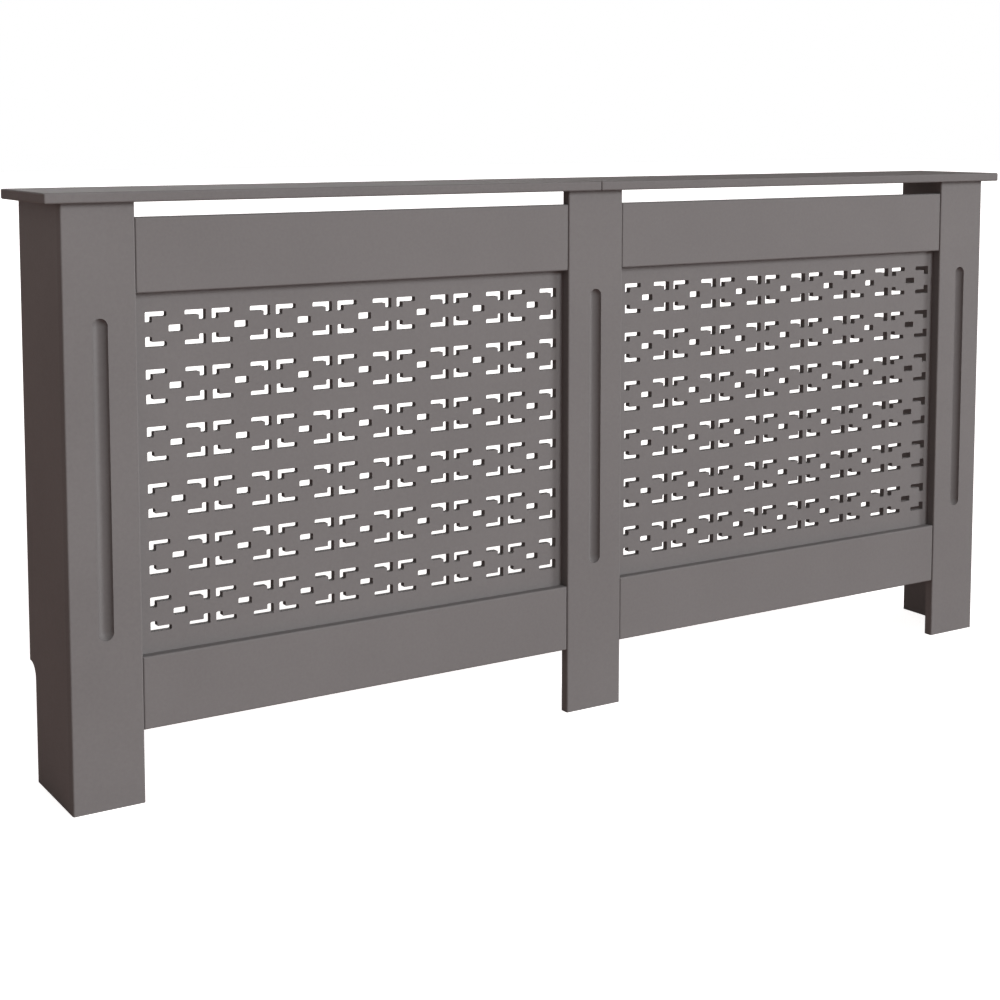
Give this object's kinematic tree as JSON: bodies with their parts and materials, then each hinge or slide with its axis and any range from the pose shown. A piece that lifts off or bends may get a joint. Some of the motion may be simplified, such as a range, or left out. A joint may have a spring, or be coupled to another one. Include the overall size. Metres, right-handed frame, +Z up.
{
  "type": "radiator cover cabinet",
  "caption": "Long, shallow radiator cover cabinet of painted boards with fluted stiles, pierced grilles, air gaps above and below, and a lid that overhangs it.",
  "frame": {"origin": "on the floor, below the middle of the lid in length and depth", "axes": "+X to the right along the front, +Y from the front towards the wall, +Z up"},
  "size_m": [1.72, 0.189, 0.8225],
  "materials": {
    "painted_board": "fibreboard, sprayed in satin warm dark grey paint",
    "painted_grille": "thin fibreboard, pierced, sprayed in satin warm dark grey paint",
    "dowel_wood": "plain turned hardwood",
    "zinc_steel": "bright zinc-plated steel",
    "screw_steel": "zinc-plated steel",
    "cam_zinc": "dull cast zinc"
  },
  "bodies": {
    "root": {"left_stile": "painted_board", "centre_stile": "painted_board", "right_stile": "painted_board", "top_rail_left": "painted_board", "top_rail_right": "painted_board", "bottom_rail_left": "painted_board", "bottom_rail_right": "painted_board", "left_side_panel": "painted_board", "right_side_panel": "painted_board", "lid_left": "painted_board", "lid_right": "painted_board", "grille_left": "painted_grille", "grille_right": "painted_grille", "rail_dowels": "dowel_wood", "side_dowels": "dowel_wood", "lid_dowels": "dowel_wood", "cam_bolts": "zinc_steel", "lid_joining_plates": "zinc_steel", "wall_bracket_left": "zinc_steel", "wall_bracket_right": "zinc_steel", "grille_screws": "screw_steel", "plate_screws": "screw_steel", "wall_bracket_screws": "screw_steel", "cam_nuts": "cam_zinc"}
  },
  "joints": []
}
